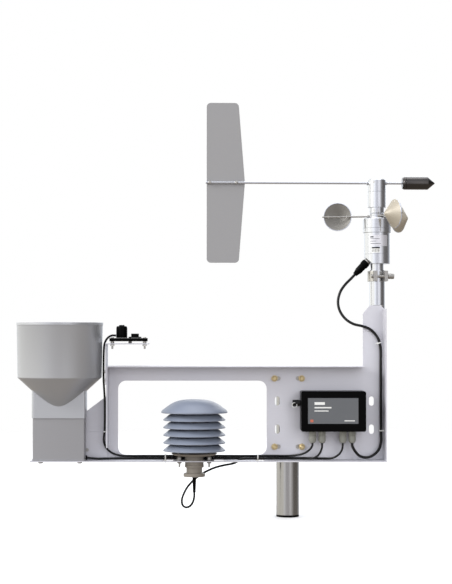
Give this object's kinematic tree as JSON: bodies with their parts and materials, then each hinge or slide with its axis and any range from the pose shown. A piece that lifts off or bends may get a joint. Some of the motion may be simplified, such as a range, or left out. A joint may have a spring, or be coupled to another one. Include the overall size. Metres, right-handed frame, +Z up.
{
  "type": "weather station",
  "caption": "Mast-mounted weather station with wind vane, cup rotor, rain gauge, sunlight sensor, screened humidity probe and data logger on a folded plate.",
  "frame": {"origin": "centre of the flat foot of the mast", "axes": "+Z up along the mast, -Y towards the front of the plate, +X towards the wind sensor"},
  "size_m": [0.9097, 0.2336, 0.9041],
  "materials": {
    "mast_steel": "galvanised and drawn, faint lengthwise streaks",
    "sheet": "satin anodised sheet",
    "anodised": "turned and clear anodised",
    "dark_steel": "bright stainless steel",
    "yellow_zinc": "yellow passivated zinc",
    "fin_sheet": "matt grey",
    "cup_shell": "cream satin paint",
    "shield_plastic": "moulded, faint gloss",
    "beige_plastic": "moulded",
    "black_plastic": "moulded, fine grain",
    "grey_plastic": "moulded",
    "lead_rubber": "smooth cable jacket",
    "board": "green laminate",
    "cell": "shrink sleeve"
  },
  "bodies": {
    "station": {"mast_tube": "mast_steel", "mast_foot_plug": "black_plastic", "mast_top_cap": "black_plastic", "u_bolt_upper": "yellow_zinc", "u_bolt_lower": "yellow_zinc", "mast_saddle_upper": "dark_steel", "mast_saddle_lower": "dark_steel", "back_plate": "sheet", "wind_tube": "anodised", "collar_clamp": "dark_steel", "clamp_bolt": "dark_steel", "sensor_body": "anodised", "sensor_collar": "anodised", "spindle": "dark_steel", "spindle_bearing": "dark_steel", "wind_plug": "black_plastic", "wind_lead": "lead_rubber", "gauge_base": "sheet", "bucket_frame": "dark_steel", "bucket_axle": "dark_steel", "reed_switch": "board", "gauge_bracket": "sheet", "rain_lead": "lead_rubber", "solar_bracket": "sheet", "levelling_plate": "black_plastic", "solar_sensor": "black_plastic", "bubble_level": "black_plastic", "solar_lead": "lead_rubber", "shield_dome": "shield_plastic", "shield_plate_1": "shield_plastic", "shield_plate_2": "shield_plastic", "shield_plate_3": "shield_plastic", "shield_plate_4": "shield_plastic", "shield_plate_5": "shield_plastic", "shield_base": "beige_plastic", "humidity_probe": "beige_plastic", "probe_lead": "lead_rubber", "logger_box": "black_plastic", "circuit_board": "board", "battery_pack": "cell", "gland_1": "grey_plastic", "gland_2": "grey_plastic", "gland_3": "grey_plastic", "gland_4": "grey_plastic"},
    "cup_rotor": {"cup_hub": "anodised", "cup_arm_1": "cup_shell", "cup_arm_2": "cup_shell", "cup_arm_3": "cup_shell"},
    "vane": {"vane_hub": "anodised", "vane_shaft": "anodised", "tail_fin": "fin_sheet", "counterweight": "dark_steel"},
    "bucket": {"tipping_bucket": "grey_plastic"},
    "funnel": {"gauge_funnel": "anodised", "debris_screen": "dark_steel"},
    "lid": {"logger_lid": "black_plastic"},
    "dust_cap": {"port_cap": "lead_rubber"},
    "screw_1": {"levelling_screw_1": "dark_steel"},
    "screw_2": {"levelling_screw_2": "dark_steel"},
    "screw_3": {"levelling_screw_3": "dark_steel"}
  },
  "joints": [
    {"name": "cup_spin", "type": "hinge", "parent": "station", "child": "cup_rotor", "pos_m": [0.1954, -0.0155, 0.656], "axis": [0, 0, 1], "continuous": true},
    {"name": "vane_swivel", "type": "hinge", "parent": "station", "child": "vane", "pos_m": [0.1954, -0.0155, 0.7], "axis": [0, 0, 1], "continuous": true},
    {"name": "bucket_tip", "type": "hinge", "parent": "station", "child": "bucket", "pos_m": [-0.4932, -0.0615, 0.171], "axis": [0, 1, 0], "range_deg": [-24, 0]},
    {"name": "funnel_lift", "type": "slide", "parent": "station", "child": "funnel", "axis": [0, 0, 1], "range_m": [0, 0.12]},
    {"name": "lid_off", "type": "slide", "parent": "station", "child": "lid", "axis": [0, -1, 0], "range_m": [0, 0.05]},
    {"name": "dust_cap_off", "type": "slide", "parent": "station", "child": "dust_cap", "axis": [-1, 0, 0], "range_m": [0, 0.015]},
    {"name": "screw_1_turn", "type": "hinge", "parent": "station", "child": "screw_1", "pos_m": [-0.3783, -0.0815, 0.38], "axis": [0, 0, 1], "range_deg": [-180, 180]},
    {"name": "screw_2_turn", "type": "hinge", "parent": "station", "child": "screw_2", "pos_m": [-0.3091, -0.0815, 0.38], "axis": [0, 0, 1], "range_deg": [-180, 180]},
    {"name": "screw_3_turn", "type": "hinge", "parent": "station", "child": "screw_3", "pos_m": [-0.3437, -0.0235, 0.38], "axis": [0, 0, 1], "range_deg": [-180, 180]}
  ]
}
